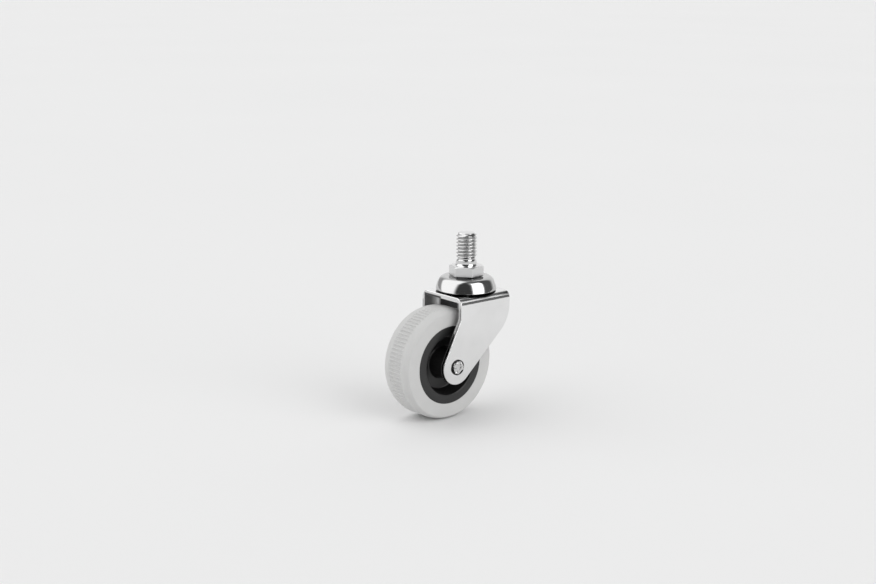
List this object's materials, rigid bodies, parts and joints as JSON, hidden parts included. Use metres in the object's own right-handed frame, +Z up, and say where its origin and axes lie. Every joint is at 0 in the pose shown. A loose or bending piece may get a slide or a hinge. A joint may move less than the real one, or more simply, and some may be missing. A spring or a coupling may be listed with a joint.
{
  "type": "swivel castor",
  "caption": "Small swivel castor with a threaded stem, a hexagon, a domed ball race, a raked sheet-steel fork and a grey rubber wheel on a black hub.",
  "frame": {"origin": "centre of the hexagon's top face, on the swivel axis, where the castor seats against what it carries", "axes": "+Z up the swivel axis and out of the stem, +X the way the castor travels with the wheel trailing behind at -X, +Y along the axle to the far leg"},
  "size_m": [0.0568, 0.0303, 0.0831],
  "materials": {
    "bright_steel": "bright turned steel, satin",
    "plated_race": "mirror-bright plating",
    "zinc_plated_steel": "satin bright zinc plate",
    "bearing_steel": "polished ball",
    "black_plastic": "moulded, semi-gloss",
    "grey_rubber": "matt pale grey"
  },
  "bodies": {
    "stem_body": {"threaded_stem": "bright_steel", "race_cup": "plated_race", "lower_race": "plated_race"},
    "fork_body": {"fork": "zinc_plated_steel", "axle": "bright_steel", "axle_sleeve": "bright_steel"},
    "wheel_body": {"wheel_hub": "black_plastic", "tread": "grey_rubber"},
    "upper_ball_ring": {"upper_ball_01": "bearing_steel", "upper_ball_02": "bearing_steel", "upper_ball_03": "bearing_steel", "upper_ball_04": "bearing_steel", "upper_ball_05": "bearing_steel", "upper_ball_06": "bearing_steel", "upper_ball_07": "bearing_steel", "upper_ball_08": "bearing_steel", "upper_ball_09": "bearing_steel", "upper_ball_10": "bearing_steel", "upper_ball_11": "bearing_steel"},
    "lower_ball_ring": {"lower_ball_01": "bearing_steel", "lower_ball_02": "bearing_steel", "lower_ball_03": "bearing_steel", "lower_ball_04": "bearing_steel", "lower_ball_05": "bearing_steel", "lower_ball_06": "bearing_steel", "lower_ball_07": "bearing_steel", "lower_ball_08": "bearing_steel", "lower_ball_09": "bearing_steel", "lower_ball_10": "bearing_steel"}
  },
  "joints": [
    {"name": "swivel", "type": "hinge", "parent": "stem_body", "child": "fork_body", "pos_m": [0, 0, 0], "axis": [0, 0, 1], "continuous": true},
    {"name": "wheel_spin", "type": "hinge", "parent": "fork_body", "child": "wheel_body", "pos_m": [-0.01665, 0, -0.0427], "axis": [0, 1, 0], "continuous": true},
    {"name": "upper_ball_travel", "type": "hinge", "parent": "stem_body", "child": "upper_ball_ring", "pos_m": [0, 0, 0], "axis": [0, 0, 1], "continuous": true},
    {"name": "lower_ball_travel", "type": "hinge", "parent": "stem_body", "child": "lower_ball_ring", "pos_m": [0, 0, 0], "axis": [0, 0, 1], "continuous": true}
  ],
  "couplings": [
    {"joint": "upper_ball_travel", "follows": "swivel", "ratio": 0.5},
    {"joint": "lower_ball_travel", "follows": "swivel", "ratio": 0.607}
  ]
}
